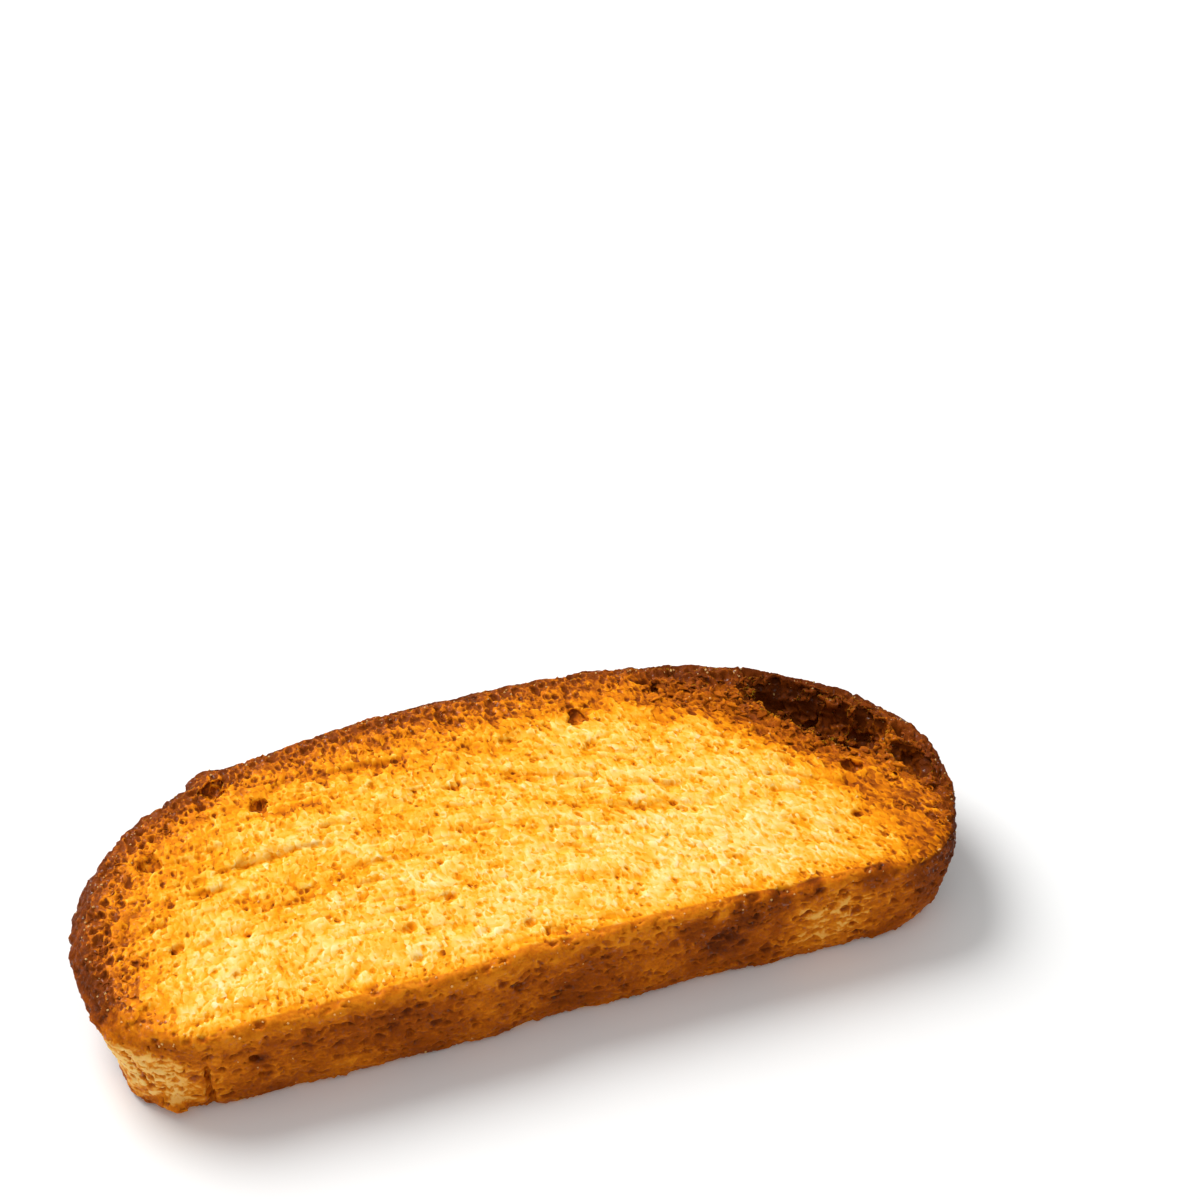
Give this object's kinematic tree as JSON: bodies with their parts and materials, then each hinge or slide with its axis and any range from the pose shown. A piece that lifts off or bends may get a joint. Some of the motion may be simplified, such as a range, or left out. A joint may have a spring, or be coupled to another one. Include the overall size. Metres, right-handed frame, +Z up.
{
  "type": "rusk",
  "caption": "D-shaped slice of twice-baked bread: open toasted crumb, a browned crust round its sides and a torn split beside the crown. It lies flat on a cut face.",
  "frame": {"origin": "on the surface that the slice lies on, below the middle of its bounding box", "axes": "+X along the slice's length, +Y from the flat base crust to the arched top crust, +Z up through its thickness"},
  "size_m": [0.1064, 0.0456, 0.0126],
  "materials": {
    "toasted_crumb": "dry toasted bread: golden crumb, brown crust, matt with a few glossy specks"
  },
  "bodies": {
    "root": {"rusk": "toasted_crumb"}
  },
  "joints": []
}
